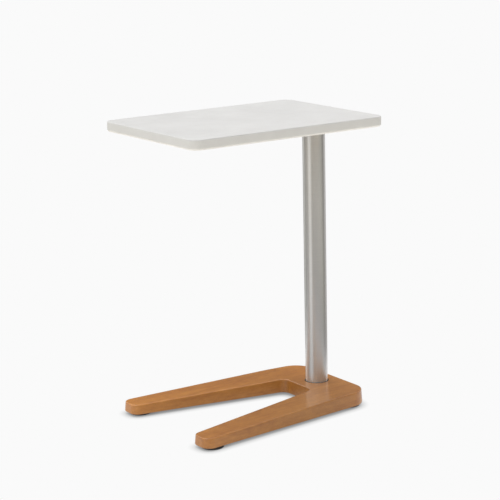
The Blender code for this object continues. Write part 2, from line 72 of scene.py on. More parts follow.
# Threads are (depth, pitch), sockets are (width across flats, depth).
BOLT_RADIUS, BOLT_HEAD_RADIUS, BOLT_COUNTERSINK = 0.0040, 0.0080, 0.0042
BOLT_THREAD, BOLT_SOCKET = (0.00065, 0.00125), (0.0050, 0.0028)
TOP_SCREW_RADIUS, TOP_SCREW_HEAD_RADIUS, TOP_SCREW_HEAD = 0.0030, 0.0055, 0.0030
TOP_SCREW_THREAD, TOP_SCREW_SOCKET = (0.0005, 0.0010), (0.0040, 0.0018)
TOP_SCREW_FLAT_RADIUS, TOP_SCREW_DOME = 0.0030, 0.0022
WOOD_SCREW_RADIUS, WOOD_SCREW_HEAD_RADIUS, WOOD_SCREW_COUNTERSINK = 0.0023, 0.0045, 0.0024
WOOD_SCREW_THREAD, WOOD_SCREW_SOCKET = (0.0007, 0.0018), (0.0030, 0.0016)

INSERT_BODY_RADIUS, INSERT_FLANGE, INSERT_THREAD = 0.0060, 0.0015, (0.0007, 0.0025)
INSERT_HOLE_SPARE = 0.0035
STEM_RADIUS, STEM_HEAD_RADIUS, STEM_HEAD_HIGH = 0.0040, 0.0070, 0.0046
STEM_SOCKET = (0.0040, 0.0035)
FOOT_HUB_RADIUS, FOOT_SHOULDER_RADIUS, FOOT_STEP = 0.0110, 0.0190, 0.0005
FOOT_ROUND, FOOT_LOWER_ROUND = 0.0014, 0.0010
FOOT_SOCKET_RADIUS, FOOT_SOCKET_ROOF = 0.0076, 0.0049
FOOT_LINE_TOP, FOOT_LINE_LOW, FOOT_LINE_DEPTH = 0.0032, 0.0028, 0.0002
TREAD_PITCH, TREAD_DEPTH = 0.0030, 0.0005
KNURLS, KNURL_DEPTH = 28, 0.00025

GLIDES = ("front_left", "front_right", "rear_left", "rear_right")


def middle(node):
    low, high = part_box(node)
    return (low + high) / 2


def height_span(node):
    low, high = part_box(node)
    return low.z, high.z


def plan_size(node):
    low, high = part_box(node)
    return high.x - low.x, high.y - low.y


# --- mesh making ----------------------------------------------------------------------------------
SHARP_ANGLE = math.radians(35)


def rounded_outline(corners, radii, steps):
    """(point, outward normal) pairs anticlockwise round a polygon, each corner an arc of its radius."""
    outline = []
    for index, (corner, radius) in enumerate(zip(corners, radii)):
        corner = Vector(corner)
        before = (Vector(corners[index - 1]) - corner).normalized()
        after = (Vector(corners[(index + 1) % len(corners)]) - corner).normalized()
        start = Vector((-before.y, before.x))
        end = Vector((after.y, -after.x))
        turn = math.atan2(start.cross(end), start.dot(end))
        side = 1.0 if turn > 0 else -1.0
        centre = corner + (before + after).normalized() * radius / math.sin(before.angle(after) / 2)
        for step in range(steps + 1):
            angle = turn * step / steps
            normal = Matrix.Rotation(angle, 2) @ start
            outline.append((centre + normal * radius * side, normal))
    return outline


def rectangle_outline(length, width, radius, steps):
    x, y = length / 2, width / 2
    return rounded_outline([(x, -y), (x, y), (-x, y), (-x, -y)], [radius] * 4, steps)


def ring(outline, inset, height):
    return [(*(point - normal * inset), height) for point, normal in outline]


def loft(rings):
    """Quads between one ring of points and the next, with a flat face over each end."""
    bm = bmesh.new()
    rows = [[bm.verts.new(point) for point in points] for points in rings]
    for low, high in zip(rows, rows[1:]):
        for i in range(len(low)):
            j = (i + 1) % len(low)
            bm.faces.new((low[i], low[j], high[j], high[i]))
    bm.faces.new(rows[0][::-1])
    bm.faces.new(rows[-1])
    return bm


def turned(rows, steps, closed=False):
    """A turned shape from (radius, height) rows; a radius may be a list with a value for each step."""
    bm = bmesh.new()
    angles = [math.tau * i / steps for i in range(steps)]
    made = []
    for radius, height in rows:
        if radius == 0:
            made.append([bm.verts.new((0, 0, height))])
            continue
        radii = radius if isinstance(radius, list) else [radius] * steps
        points = [(r * math.cos(a), r * math.sin(a), height) for r, a in zip(radii, angles)]
        made.append([bm.verts.new(point) for point in points])
    pairs = list(zip(made, made[1:]))
    if closed:
        pairs.append((made[-1], made[0]))
    for a, b in pairs:
        for i in range(steps):
            j = (i + 1) % steps
            if len(a) == 1:
                bm.faces.new((a[0], b[j], b[i]))
            elif len(b) == 1:
                bm.faces.new((a[i], a[j], b[0]))
            else:
                bm.faces.new((a[i], a[j], b[j], b[i]))
    return bm


def arc(centre, radius, start, end, steps):
    """Points of an arc in a profile, from one angle to another in degrees."""
    points = []
    for step in range(steps + 1):
        angle = math.radians(start + (end - start) * step / steps)
        points.append((centre[0] + radius * math.cos(angle), centre[1] + radius * math.sin(angle)))
    return points


def thread_rows(radius, thread, high, low, steps, per_turn=6):
    """Rows of a right-hand thread from high down to low, running out over one pitch at both ends."""
    depth, pitch = thread
    rows = []
    count = round((high - low) / pitch * per_turn)
    for k in range(count + 1):
        z = high - (high - low) * k / count
        grown = min(1.0, (high - z) / pitch, (z - low) / pitch)
        radii = []
        for i in range(steps):
            phase = (z / pitch - i / steps) % 1.0
            crest = min(1.0, 1.25 * (1.0 - abs(2.0 * phase - 1.0)))
            radii.append(radius - depth * (1.0 - grown * crest))
        rows.append((radii, z))
    return rows


def hexagon(across, depth):
    radius = across / 2 / math.cos(math.pi / 6)
    return turned([(0, depth), (radius, depth), (radius, -depth), (0, -depth)], 6)


def mesh_of(name, bm):
    bmesh.ops.recalc_face_normals(bm, faces=bm.faces)
    mesh = bpy.data.meshes.new(name)
    bm.to_mesh(mesh)
    bm.free()
    mesh.shade_smooth()
    mesh.set_sharp_from_angle(angle=SHARP_ANGLE)
    return mesh


def as_matrix(place):
    return place if isinstance(place, Matrix) else Matrix.Translation(place)


def carved(name, bm, cuts):
    """The mesh with shapes cut out of it. cuts holds (bmesh, places); places are points or matrices."""
    body = bpy.data.objects.new(name, mesh_of(name, bm))
    bpy.context.scene.collection.objects.link(body)
    tools = []
    for number, (shape, places) in enumerate(cuts):
        shape_mesh = mesh_of(f"{name}_cut_{number}", shape)
        for place in places:
            tool = bpy.data.objects.new(shape_mesh.name, shape_mesh)
            tool.matrix_world = as_matrix(place)
            bpy.context.scene.collection.objects.link(tool)
            boolean = body.modifiers.new(tool.name, "BOOLEAN")
            boolean.operation, boolean.solver, boolean.object = "DIFFERENCE", "EXACT", tool
            tools.append(tool)
    bpy.context.view_layer.update()
    cut_body = body.evaluated_get(bpy.context.evaluated_depsgraph_get())
    made = bpy.data.meshes.new_from_object(cut_body)
    for old in [body, *tools]:
        bpy.data.objects.remove(old)
    made.name = name
    made.shade_smooth()
    made.set_sharp_from_angle(angle=SHARP_ANGLE)
    return made


def piece(name, mesh, finish, nodes, body="table_frame", place=None, weighted=False):
    """Puts a finished mesh in the scene in place of its CAD nodes, on their body."""
    mesh.materials.clear()
    mesh.materials.append(finish)
    made = bpy.data.objects.new(name, mesh)
    bpy.context.scene.collection.objects.link(made)
    if place is not None:
        made.matrix_world = as_matrix(place)
    if weighted:
        made.modifiers.new("weighted_normals", "WEIGHTED_NORMAL").keep_sharp = True
    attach(made, body)
    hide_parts(*nodes)
    return made


UPSIDE_DOWN = Matrix.Rotation(math.pi, 4, "X")


# --- materials ------------------------------------------------------------------------------------
def node(tree, kind, inputs=None, **settings):
    made = tree.nodes.new("ShaderNode" + kind)
    for key, value in settings.items():
        setattr(made, key, value)
    for key, value in (inputs or {}).items():
        if isinstance(value, bpy.types.NodeSocket):
            tree.links.new(value, made.inputs[key])
        else:
            made.inputs[key].default_value = value
    return made


def math_node(tree, operation, a, b):
    return node(tree, "Math", {0: a, 1: b}, operation=operation).outputs[0]


def remap(tree, value, low, high, start=0.0, end=1.0, smooth=False):
    kind = "SMOOTHSTEP" if smooth else "LINEAR"
    inputs = {"Value": value, "From Min": start, "From Max": end, "To Min": low, "To Max": high}
    return node(tree, "MapRange", inputs, interpolation_type=kind, clamp=True).outputs["Result"]


def scaled_place(tree, scale):
    """Object coordinates, stretched, so that a pattern has its real size and follows its piece."""
    place = node(tree, "TexCoord").outputs["Object"]
    return node(tree, "Mapping", {"Vector": place, "Scale": scale}).outputs["Vector"]


def noise(tree, scale, detail=2.0, roughness=0.5, distortion=0.0):
    inputs = {
        "Vector": scaled_place(tree, scale),
        "Scale": 1.0,
        "Detail": detail,
        "Roughness": roughness,
        "Distortion": distortion,
    }
    return node(tree, "TexNoise", inputs).outputs["Fac"]


def ramp(tree, value, stops):
    made = node(tree, "ValToRGB", {"Fac": value})
    elements = made.color_ramp.elements
    for position, colour in stops[1:-1]:
        elements.new(position).color = (*colour, 1.0)
    elements[0].position, elements[0].color = stops[0][0], (*stops[0][1], 1.0)
    elements[-1].position, elements[-1].color = stops[-1][0], (*stops[-1][1], 1.0)
    return made.outputs["Color"]


def blend_colours(tree, factor, a, b, mode="MIX"):
    made = tree.nodes.new("ShaderNodeMix")
    made.data_type, made.blend_type = "RGBA", mode
    for index, value in ((0, factor), (6, a), (7, b)):
        if isinstance(value, bpy.types.NodeSocket):
            tree.links.new(value, made.inputs[index])
        else:
            made.inputs[index].default_value = value
    return made.outputs[2]


def bump(tree, height, distance):
    inputs = {"Height": height, "Distance": distance, "Strength": 1.0}
    return node(tree, "Bump", inputs).outputs["Normal"]


def weighted_sum(tree, parts):
    """The sum of (value, share) parts."""
    total = 0.0
    for value, share in parts:
        total = math_node(tree, "ADD", total, math_node(tree, "MULTIPLY", value, share))
    return total


def material(name, links=None, **values):
    """A Principled material. values go on its sockets; links makes what varies over the surface."""
    made = bpy.data.materials.new(name)
    made.use_nodes = True
    tree = made.node_tree
    shader = tree.nodes["Principled BSDF"]
    for key, value in values.items():
        shader.inputs[key.replace("_", " ")].default_value = value
    for key, socket in (links(tree) if links else {}).items():
        tree.links.new(socket, shader.inputs[key])
    return made


def solid_surface_links(tree):
    clouds = noise(tree, (38, 38, 38), detail=5, roughness=0.6)
    specks = noise(tree, (900, 900, 900), detail=2)
    clouds, specks = remap(tree, clouds, -0.5, 0.5, 0.3, 0.7), remap(tree, specks, -0.4, 0.4, 0.3, 0.7)
    tone = remap(tree, math_node(tree, "ADD", clouds, specks), 0, 1, -0.9, 0.9)
    colour = ramp(tree, tone, [(0.0, (0.780, 0.775, 0.757)), (1.0, (0.835, 0.833, 0.820))])
    haze = noise(tree, (14, 14, 14), detail=3)
    return {
        "Base Color": colour,
        "Roughness": remap(tree, haze, 0.42, 0.52, 0.3, 0.7),
        "Normal": bump(tree, noise(tree, (250, 250, 250), detail=1), 0.00001),
    }


def wood_links(tree):
    broad = noise(tree, (7, 22, 22), detail=3, roughness=0.55, distortion=0.6)
    figure = noise(tree, (12, 130, 130), detail=3, roughness=0.6, distortion=0.8)
    fibres = noise(tree, (45, 1100, 1100), detail=3, roughness=0.6)
    mottle = noise(tree, (55, 110, 110), detail=3, roughness=0.6)
    tone = weighted_sum(tree, ((broad, 0.34), (figure, 0.26), (mottle, 0.24), (fibres, 0.16)))
    colour = ramp(tree, tone, [
        (0.36, (0.480, 0.165, 0.0300)),
        (0.46, (0.590, 0.229, 0.0430)),
        (0.54, (0.662, 0.270, 0.0515)),
        (0.64, (0.762, 0.325, 0.0650)),
    ])
    # painted shade: the tone is darkest in the middle of the length and round the crotch, palest at the
    # tips and the rear; the left leg, more under the top's shadow, is painted darker, so the right leg
    # looks paler and redder
    place = node(tree, "SeparateXYZ", {0: node(tree, "TexCoord").outputs["Object"]}).outputs
    painted_shade_levels = {0.00: 1.00, 0.12: 0.93, 0.40: 0.88, 0.72: 0.81, 0.80: 0.82, 0.93: 0.95, 1.00: 1.00}
    lengthways = remap(tree, place["X"], 0.0, 1.0, WOOD_TIP_X, WOOD_REAR_X)
    along = ramp(tree, lengthways, [(position, (level,) * 3) for position, level in painted_shade_levels.items()])
    colour = blend_colours(tree, 1.0, colour, along, mode="MULTIPLY")
    # painted shade on the left (-Y) leg, which lies more under the shadow of the top
    right = remap(tree, place["Y"], 0.0, 1.0, 0.0, 0.06, smooth=True)
    painted_leg_shade = blend_colours(tree, right, (0.910, 0.930, 0.98, 1), (1.0, 1.0, 1.0, 1))
    colour = blend_colours(tree, 1.0, colour, painted_leg_shade, mode="MULTIPLY")
    pores = remap(tree, noise(tree, (110, 2600, 2600), detail=1), 1.0, 0.0, 0.30, 0.40, smooth=True)
    pores = math_node(tree, "MULTIPLY", pores, 0.20)
    colour = blend_colours(tree, pores, colour, (0.16, 0.06, 0.02, 1))
    return {
        "Base Color": colour,
        "Roughness": remap(tree, fibres, 0.30, 0.42, 0.3, 0.7),
        "Normal": bump(tree, fibres, 0.00004),
    }


def brushed_links(tree):
    lines = noise(tree, (24, 24, 1300), detail=3, roughness=0.7)
    haze = noise(tree, (9, 9, 5), detail=3)
    streaks, clouds = remap(tree, lines, -0.010, 0.010), remap(tree, haze, 0.37, 0.40, 0.3, 0.7)
    return {
        "Base Color": ramp(tree, lines, [(0.25, (0.735, 0.729, 0.709)), (0.75, (0.790, 0.784, 0.764))]),
        "Roughness": math_node(tree, "ADD", streaks, clouds),
        "Tangent": node(tree, "Tangent", direction_type="RADIAL", axis="Z").outputs["Tangent"],
    }


def zinc_links(tree):
    spangle = noise(tree, (500, 500, 500), detail=3, roughness=0.6)
    return {
        "Base Color": ramp(tree, spangle, [(0.3, (0.52, 0.53, 0.54)), (0.7, (0.70, 0.70, 0.68))]),
        "Roughness": remap(tree, spangle, 0.24, 0.40, 0.3, 0.7),
        "Normal": bump(tree, noise(tree, (1800, 1800, 1800)), 0.00001),
    }


def brass_links(tree):
    tarnish = noise(tree, (420, 420, 420), detail=4)
    return {
        "Base Color": ramp(tree, tarnish, [(0.3, (0.55, 0.38, 0.16)), (0.7, (0.78, 0.60, 0.30))]),
        "Roughness": remap(tree, tarnish, 0.28, 0.46, 0.3, 0.7),
    }


def powder_links(tree):
    peel = noise(tree, (900, 900, 900), detail=2)
    return {
        "Base Color": ramp(tree, peel, [(0.3, (0.016, 0.016, 0.017)), (0.7, (0.030, 0.030, 0.031))]),
        "Roughness": remap(tree, peel, 0.42, 0.58, 0.3, 0.7),
        "Normal": bump(tree, peel, 0.00008),
    }


def ply_links(tree):
    figure = noise(tree, (6, 90, 90), detail=4, roughness=0.6, distortion=1.2)
    fibres = noise(tree, (40, 900, 900), detail=3, roughness=0.6)
    tone = weighted_sum(tree, ((figure, 0.65), (fibres, 0.35)))
    stops = [(0.35, (0.44, 0.29, 0.16)), (0.5, (0.58, 0.41, 0.24)), (0.68, (0.68, 0.51, 0.33))]
    return {
        "Base Color": ramp(tree, tone, stops),
        "Roughness": remap(tree, fibres, 0.5, 0.7),
        "Normal": bump(tree, fibres, 0.00006),
    }


def moulded_links(tree):
    grain = noise(tree, (1500, 1500, 1500), detail=2)
    return {
        "Base Color": ramp(tree, grain, [(0.3, (0.020, 0.019, 0.018)), (0.7, (0.034, 0.031, 0.029))]),
        "Roughness": remap(tree, grain, 0.40, 0.58, 0.3, 0.7),
        "Normal": bump(tree, grain, 0.00003),
    }


def rubber_links(tree):
    grain = noise(tree, (1100, 1100, 1100), detail=4, roughness=0.7)
    return {
        "Base Color": ramp(tree, grain, [(0.3, (0.012, 0.012, 0.012)), (0.7, (0.028, 0.027, 0.026))]),
        "Roughness": remap(tree, grain, 0.72, 0.9, 0.3, 0.7),
        "Normal": bump(tree, grain, 0.00005),
    }


SOLID_SURFACE = material("solid_surface", solid_surface_links, Specular_IOR_Level=0.4)
WOOD = material("lacquered_wood", wood_links, Coat_Weight=0.60, Coat_Roughness=0.20, Coat_IOR=1.5)
BRUSHED = material(
    "brushed_column", brushed_links, Metallic=1.0, Anisotropic=0.75, Anisotropic_Rotation=0.25
)
ZINC = material("zinc_plated_steel", zinc_links, Metallic=1.0)
BRASS = material("brass", brass_links, Metallic=1.0)
POWDER = material("black_coated_steel", powder_links)
PLY = material("core_panel", ply_links)
NYLON = material("black_nylon", moulded_links)
RUBBER = material("black_rubber", rubber_links)


# --- the top --------------------------------------------------------------------------------------
CORNER_STEPS = 20
PLATE_CORNER_STEPS = 8


def make_table_top():
    low, high = height_span("table_top")
    ceiling = height_span("top_core_panel")[1] + CLEARANCE
    length, width = plan_size("table_top")
    outside = rectangle_outline(length, width, TOP_CORNER_RADIUS, CORNER_STEPS)
    length, width = length - 2 * RIM_WIDTH, width - 2 * RIM_WIDTH
    hollow = rectangle_outline(length, width, HOLLOW_CORNER_RADIUS, CORNER_STEPS)
    rings = [ring(hollow, 0, ceiling), ring(hollow, 0, low + RIM_CHAMFER)]
    rings += [ring(hollow, -RIM_CHAMFER, low)]
    r = TOP_LOWER_ROUND
    rings += [ring(outside, r - x, z) for x, z in arc((0, low + r), r, -90, 0, 10)]
    r = TOP_UPPER_ROUND
    rings += [ring(outside, r - x, z) for x, z in arc((0, high - r), r, 0, 90, 8)]
    mesh = mesh_of("solid_surface_top", loft(rings))
    piece("solid_surface_top", mesh, SOLID_SURFACE, ["table_top"], weighted=True)


def top_fastener_places(kind):
    return [middle(f"top_{kind}_{number}") for number in range(1, 7)]


def column_bolt_places(end):
    return [middle(f"column_{end}_bolt_{number}") for number in range(1, 5)]


def plate_loft(node_name, radius, edge):
    low, high = height_span(node_name)
    outline = rectangle_outline(*plan_size(node_name), radius, PLATE_CORNER_STEPS)
    return loft([ring(outline, edge, low), ring(outline, 0, low + edge),
                 ring(outline, 0, high - edge), ring(outline, edge, high)])


def shifted(bm, place):
    bmesh.ops.translate(bm, vec=(place.x, place.y, 0), verts=bm.verts)
    return bm


def rod(radius, low, high, steps=32):
    return turned([(0, high), (radius, high), (radius, low), (0, low)], steps)


def countersunk_hole(head_radius, radius, depth, steps):
    """A cutter for a countersunk hole that looks up, with its mouth at height 0."""
    head_radius, radius = head_radius + CLEARANCE, radius + CLEARANCE
    rows = [(0, BEYOND), (head_radius, BEYOND), (head_radius, -CLEARANCE),
            (radius, -depth - CLEARANCE), (radius, -BEYOND), (0, -BEYOND)]
    return turned(rows, steps)


def make_core_panel():
    high = height_span("top_core_panel")[1]
    bm = plate_loft("top_core_panel", HOLLOW_CORNER_RADIUS, CORE_EDGE)
    low_insert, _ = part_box("top_insert_1")
    hole = rod(middle("top_insert_1").x - low_insert.x + CLEARANCE, -BEYOND, high + BEYOND)
    places = [(p.x, p.y, 0) for p in top_fastener_places("insert")]
    mesh = carved("plywood_core", bm, [(hole, places)])
    piece("plywood_core", mesh, PLY, ["top_core_panel"])


def make_top_plate():
    high = height_span("top_plate")[1]
    bm = shifted(plate_loft("top_plate", PLATE_CORNER_RADIUS, PLATE_EDGE), middle("top_plate"))
    screw_places = [(p.x, p.y, high) for p in top_fastener_places("screw")]
    bolt_places = [(p.x, p.y, high - CLEARANCE) for p in column_bolt_places("top")]
    mesh = carved("steel_top_plate", bm, [
        (rod(TOP_SCREW_RADIUS + CLEARANCE, -BEYOND, BEYOND), screw_places),
        (countersunk_hole(BOLT_HEAD_RADIUS, BOLT_RADIUS, BOLT_COUNTERSINK, 32), bolt_places),
    ])
    piece("steel_top_plate", mesh, POWDER, ["top_plate"])


def make_top_fasteners():
    low, high = height_span("top_screw_1")
    reach = high - low - TOP_SCREW_HEAD
    steps = 24
    rows = [(0, reach), (TOP_SCREW_RADIUS - 0.0008, reach)]
    rows += thread_rows(TOP_SCREW_RADIUS, TOP_SCREW_THREAD, reach - 0.0004, 0.0012, steps)
    rows += [(TOP_SCREW_RADIUS, 0.0006), (TOP_SCREW_RADIUS, 0)]
    rows += [(TOP_SCREW_HEAD_RADIUS - EDGE_BREAK, 0), (TOP_SCREW_HEAD_RADIUS, -EDGE_BREAK)]
    dome_start = TOP_SCREW_DOME - TOP_SCREW_HEAD
    rows += [(TOP_SCREW_HEAD_RADIUS, dome_start)]
    # the domed side of the head, down to the flat round the socket
    flat, dome_width = TOP_SCREW_FLAT_RADIUS, TOP_SCREW_HEAD_RADIUS - TOP_SCREW_FLAT_RADIUS
    for angle in range(15, 76, 15):
        a = math.radians(angle)
        rows.append((flat + dome_width * math.cos(a), dome_start - TOP_SCREW_DOME * math.sin(a)))
    rows += [(flat - 0.0001, -TOP_SCREW_HEAD), (0, -TOP_SCREW_HEAD)]
    socket = hexagon(*TOP_SCREW_SOCKET)
    screw = carved("top_screw", turned(rows, steps), [(socket, [(0, 0, -TOP_SCREW_HEAD)])])
    for number, place in enumerate(top_fastener_places("screw"), 1):
        spot = (place.x, place.y, low + TOP_SCREW_HEAD)
        node_name = f"top_screw_{number}"
        piece(f"button_screw_{number}", screw, ZINC, [node_name], place=spot)

    low, high = height_span("top_insert_1")
    low_corner, high_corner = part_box("top_insert_1")
    outer = (high_corner.x - low_corner.x) / 2
    steps = KNURLS * 4
    knurled = [outer - KNURL_DEPTH * (1 + math.cos(math.tau * i / 4)) / 2 for i in range(steps)]
    inner = TOP_SCREW_RADIUS + EDGE_BREAK
    tall = high - low
    # from the top: an upper knurled band, the waist, a lower knurled band, a flange, then the bore
    waist, waist_top, waist_low = outer - 0.0007, tall * 0.6, tall * 0.45
    rows = [
        (outer - 2 * EDGE_BREAK, tall), (outer - EDGE_BREAK, tall - EDGE_BREAK),
        (knurled, tall - 2 * EDGE_BREAK), (knurled, waist_top),
        (waist, waist_top - EDGE_BREAK), (waist, waist_low),
        (knurled, waist_low - EDGE_BREAK), (knurled, 0.0012), (outer, 0.0009), (outer, 0.0),
        (inner + EDGE_BREAK, 0), (inner, 0.0004), (inner, tall - EDGE_BREAK),
    ]
    insert = mesh_of("knurled_insert", turned(rows, steps, closed=True))
    for number, place in enumerate(top_fastener_places("insert"), 1):
        spot = (place.x, place.y, low)
        node_name = f"top_insert_{number}"
        piece(f"knurled_insert_{number}", insert, BRASS, [node_name], place=spot)


# --- the column -----------------------------------------------------------------------------------
COLUMN_STEPS = 128


def make_column():
    low, high = height_span("column_tube")
    centre = middle("column_tube")
    radius = plan_size("column_tube")[0] / 2
    plug_radius = plan_size("column_top_plug")[0] / 2
    bore = plug_radius + CLEARANCE
    rows = [(bore, high), (radius - TUBE_EDGE, high), (radius, high - TUBE_EDGE),
            (radius, low + TUBE_EDGE), (radius - TUBE_EDGE, low), (bore, low)]
    tube = mesh_of("steel_tube", turned(rows, COLUMN_STEPS, closed=True))
    spot = (centre.x, centre.y, 0)
    piece("steel_tube", tube, BRUSHED, ["column_tube"], place=spot)

    for end, name in (("top", "upper_plug"), ("bottom", "lower_plug")):
        low, high = height_span(f"column_{end}_plug")
        rows = [(0, high), (plug_radius - PLUG_EDGE, high), (plug_radius, high - PLUG_EDGE),
                (plug_radius, low + PLUG_EDGE), (plug_radius - PLUG_EDGE, low), (0, low)]
        holes = [(p.x - centre.x, p.y - centre.y, 0) for p in column_bolt_places(end)]
        bolt_low, bolt_high = height_span(f"column_{end}_bolt_1")
        hole = rod(BOLT_RADIUS + CLEARANCE, bolt_low - CLEARANCE, bolt_high + CLEARANCE, 24)
        mesh = carved(name, turned(rows, 96), [(hole, holes)])
        piece(name, mesh, ZINC, [f"column_{end}_plug"], place=spot)

    bolt_low, bolt_high = height_span("column_top_bolt_1")
    reach = bolt_high - bolt_low
    steps = 24
    rows = [(0, 0), (BOLT_HEAD_RADIUS - 0.0002, 0), (BOLT_HEAD_RADIUS, -0.0003)]
    rows += [(BOLT_RADIUS, -BOLT_COUNTERSINK)]
    rows += thread_rows(BOLT_RADIUS, BOLT_THREAD, -BOLT_COUNTERSINK - 0.0008, -reach + 0.0006, steps)
    rows += [(BOLT_RADIUS - 0.001, -reach), (0, -reach)]
    socket = hexagon(*BOLT_SOCKET)
    bolt = carved("countersunk_bolt", turned(rows, steps), [(socket, [(0, 0, 0)])])
    for end, turn in (("top", Matrix.Identity(4)), ("bottom", UPSIDE_DOWN)):
        for number, place in enumerate(column_bolt_places(end), 1):
            name, node_name = f"countersunk_bolt_{end}_{number}", f"column_{end}_bolt_{number}"
            low, high = height_span(node_name)
            spot = Matrix.Translation((place.x, place.y, high if end == "top" else low)) @ turn
            piece(name, bolt, ZINC, [node_name], place=spot)


def make_seal_ring():
    low, high = height_span("column_seal_ring")
    outer = plan_size("column_seal_ring")[0] / 2
    inner = plan_size("column_tube")[0] / 2 + CLEARANCE
    centre = middle("column_seal_ring")
    r = SEAL_ROUND
    rows = [(inner, low), (inner, high - r), (inner + r, high - 0.0001)]
    rows += arc((outer - r, high - r), r, 90, 0, 5) + [(outer, low)]
    mesh = mesh_of("rubber_seal", turned(rows, COLUMN_STEPS, closed=True))
    spot = (centre.x, centre.y, 0)
    piece("rubber_seal", mesh, RUBBER, ["column_seal_ring"], place=spot)


# --- the base -------------------------------------------------------------------------------------
def wood_outline():
    def outer(x):
        return OUTER_HALF_WIDTH - OUTER_TAPER * x

    def inner(x):
        return INNER_HALF_GAP - INNER_TAPER * x

    half = [(WOOD_REAR_X, outer(WOOD_REAR_X)), (WOOD_TIP_X, outer(WOOD_TIP_X)),
            (WOOD_TIP_X, inner(WOOD_TIP_X)), (CROTCH_X, inner(CROTCH_X))]
    radii = [REAR_RADIUS, TIP_OUTER_RADIUS, TIP_INNER_RADIUS, CROTCH_RADIUS]
    other_half = [(x, -y) for x, y in reversed(half)]
    return rounded_outline(half + other_half, radii + radii[::-1], WOOD_CORNER_STEPS)


def leg_drop(x):
    """How far the top of a leg lies under the bridge's: a soft bend, then an even slope."""
    ahead = SLOPE_START_X - x
    if ahead < -SLOPE_BLEND:
        return 0.0
    if ahead > SLOPE_BLEND:
        return SLOPE * ahead
    return SLOPE * (ahead + SLOPE_BLEND) ** 2 / (4 * SLOPE_BLEND)


def make_wood_base():
    low, high = height_span("wood_base")
    outline = wood_outline()
    r = WOOD_LOWER_ROUND
    rings = [ring(outline, r - x, z) for x, z in arc((0, low + r), r, -90, 0, 8)]
    r = WOOD_UPPER_ROUND
    rings += [ring(outline, WALL_DRAFT + r - x, z) for x, z in arc((0, high - r), r, 0, 90, 7)]
    bm = loft(rings)
    for step in range(BLEND_STEPS + 1):
        everything = list(bm.verts) + list(bm.edges) + list(bm.faces)
        x = SLOPE_START_X + SLOPE_BLEND * (2 * step / BLEND_STEPS - 1)
        bmesh.ops.bisect_plane(bm, geom=everything, plane_co=(x, 0, 0), plane_no=(1, 0, 0))
    for vert in bm.verts:
        if vert.co.z > (low + high) / 2:
            vert.co.z -= leg_drop(vert.co.x)

    plate_length, plate_width = plan_size("base_plate")
    plate_high = height_span("base_plate")[1]
    length, width = plate_length + 2 * CLEARANCE, plate_width + 2 * CLEARANCE
    outline = rectangle_outline(length, width, PLATE_CORNER_RADIUS, PLATE_CORNER_STEPS)
    pocket = loft([ring(outline, 0, -BEYOND), ring(outline, 0, plate_high + CLEARANCE)])
    pocket = shifted(pocket, middle("base_plate"))
    column = middle("column_tube")
    seal_radius = plan_size("column_seal_ring")[0] / 2 + CLEARANCE
    bore_radius = plan_size("column_tube")[0] / 2 + CLEARANCE
    step_height = high - SEAL_DEPTH
    roof = high + BEYOND
    bore = turned([(0, roof), (seal_radius, roof), (seal_radius, step_height),
                   (bore_radius, step_height), (bore_radius, -BEYOND), (0, -BEYOND)], 96)
    screw_high = height_span("base_plate_screw_1")[1]
    pilot = rod(WOOD_SCREW_RADIUS + CLEARANCE, -BEYOND, screw_high + 0.001, 20)
    pilot_places = [(*middle(f"base_plate_screw_{n}").xy, 0) for n in range(1, 7)]
    insert_low, insert_high = height_span("front_left_glide_insert")
    flange_roof = insert_low + INSERT_FLANGE + CLEARANCE
    flange = plan_size("front_left_glide_insert")[0] / 2 + CLEARANCE
    body_radius = INSERT_BODY_RADIUS + CLEARANCE
    roof = insert_high + INSERT_HOLE_SPARE
    stepped = turned([(0, roof), (body_radius, roof), (body_radius, flange_roof),
                      (flange, flange_roof), (flange, -BEYOND), (0, -BEYOND)], 40)
    glide_places = [(*middle(f"{g}_glide_insert").xy, 0) for g in GLIDES]
    mesh = carved("wooden_base", bm, [
        (pocket, [(0, 0, 0)]),
        (bore, [(column.x, column.y, 0)]),
        (pilot, pilot_places),
        (stepped, glide_places),
    ])
    piece("wooden_base", mesh, WOOD, ["wood_base"], weighted=True)


def make_base_plate():
    low = height_span("base_plate")[0]
    bm = shifted(plate_loft("base_plate", PLATE_CORNER_RADIUS, PLATE_EDGE), middle("base_plate"))

    def from_below(places):
        return [Matrix.Translation((p.x, p.y, low + CLEARANCE)) @ UPSIDE_DOWN for p in places]

    bolts = from_below(column_bolt_places("bottom"))
    screws = from_below([middle(f"base_plate_screw_{n}") for n in range(1, 7)])
    bolt_hole = countersunk_hole(BOLT_HEAD_RADIUS, BOLT_RADIUS, BOLT_COUNTERSINK, 32)
    screw_hole = countersunk_hole(WOOD_SCREW_HEAD_RADIUS, WOOD_SCREW_RADIUS, WOOD_SCREW_COUNTERSINK, 24)
    mesh = carved("steel_base_plate", bm, [(bolt_hole, bolts), (screw_hole, screws)])
    piece("steel_base_plate", mesh, POWDER, ["base_plate"])


def make_wood_screws():
    low, high = height_span("base_plate_screw_1")
    reach = high - low
    steps = 20
    rows = [(0, 0), (WOOD_SCREW_HEAD_RADIUS - 0.0002, 0), (WOOD_SCREW_HEAD_RADIUS, -0.0002)]
    rows += [(WOOD_SCREW_RADIUS - 0.0004, -WOOD_SCREW_COUNTERSINK)]
    thread_start = -WOOD_SCREW_COUNTERSINK - 0.002
    rows += thread_rows(WOOD_SCREW_RADIUS, WOOD_SCREW_THREAD, thread_start, -reach + 0.003, steps)
    rows += [(0, -reach)]
    socket = hexagon(*WOOD_SCREW_SOCKET)
    screw = carved("wood_screw", turned(rows, steps), [(socket, [(0, 0, 0)])])
    for number in range(1, 7):
        node_name = f"base_plate_screw_{number}"
        place = middle(node_name)
        spot = Matrix.Translation((place.x, place.y, low)) @ UPSIDE_DOWN
        piece(f"wood_screw_{number}", screw, ZINC, [node_name], place=spot)


